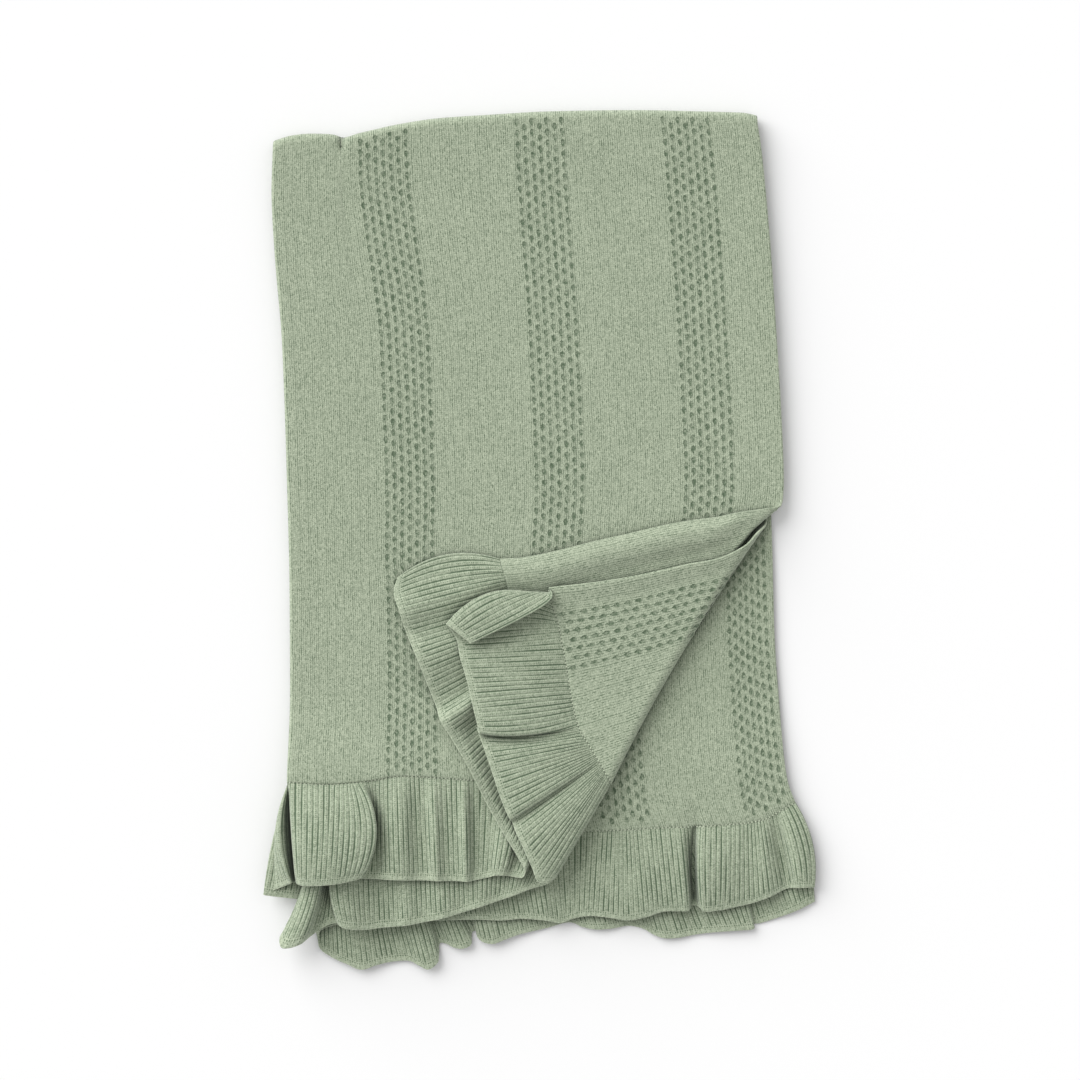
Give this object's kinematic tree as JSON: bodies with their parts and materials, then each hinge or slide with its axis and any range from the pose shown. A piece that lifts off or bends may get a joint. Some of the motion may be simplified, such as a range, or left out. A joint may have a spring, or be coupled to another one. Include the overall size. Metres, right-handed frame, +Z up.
{
  "type": "knitted baby blanket",
  "caption": "Knitted baby blanket with gathered rib ruffles, folded lengthwise and crosswise, lying flat with its near corner turned back.",
  "frame": {"origin": "centre of the folded blanket's outline, on the surface it lies on", "axes": "+Y along the blanket from the ruffles to the crosswise fold, +X towards the open long side, +Z up"},
  "size_m": [0.3566, 0.5559, 0.0304],
  "materials": {
    "pointelle_knit": "matt fine-gauge pointelle knit",
    "rib_knit": "matt gathered rib knit"
  },
  "bodies": {
    "root": {"knit_panel": "pointelle_knit", "front_ruffle": "rib_knit", "back_ruffle": "rib_knit"}
  },
  "joints": []
}
